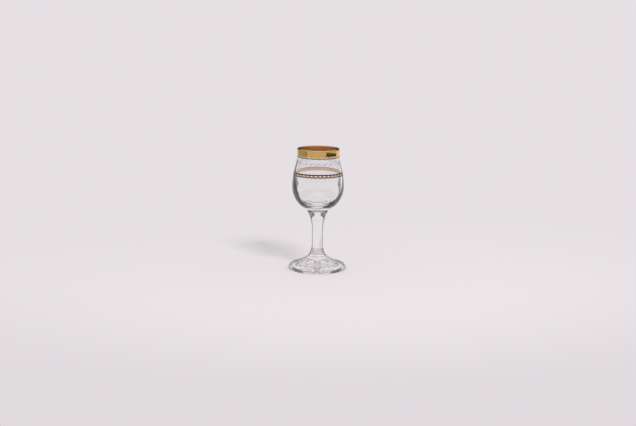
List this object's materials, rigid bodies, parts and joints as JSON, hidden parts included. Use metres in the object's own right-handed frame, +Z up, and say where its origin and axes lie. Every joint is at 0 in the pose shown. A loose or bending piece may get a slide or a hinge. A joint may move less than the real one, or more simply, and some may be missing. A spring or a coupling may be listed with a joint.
{
  "type": "vodka glass",
  "caption": "Small stemmed vodka glass: round-bellied clear bowl, solid flared stem and heavy pressed foot, with a gold band over the rim and a narrow gold band round the shoulder.",
  "frame": {"origin": "middle of the standing plane, on the axis of the glass", "axes": "+Z up along the axis of the glass, -Y towards the front; the glass is round, so X and Y are free"},
  "size_m": [0.052, 0.052, 0.11],
  "materials": {
    "clear_glass": "fire-polished clear soda-lime glass, frosted ornament on the shoulder",
    "fired_gold": "bright fired liquid gold, a thin film on the glass"
  },
  "bodies": {
    "root": {"foot": "clear_glass", "stem": "clear_glass", "bowl": "clear_glass", "rim_gold_band": "fired_gold", "waist_gold_band": "fired_gold"}
  },
  "joints": []
}
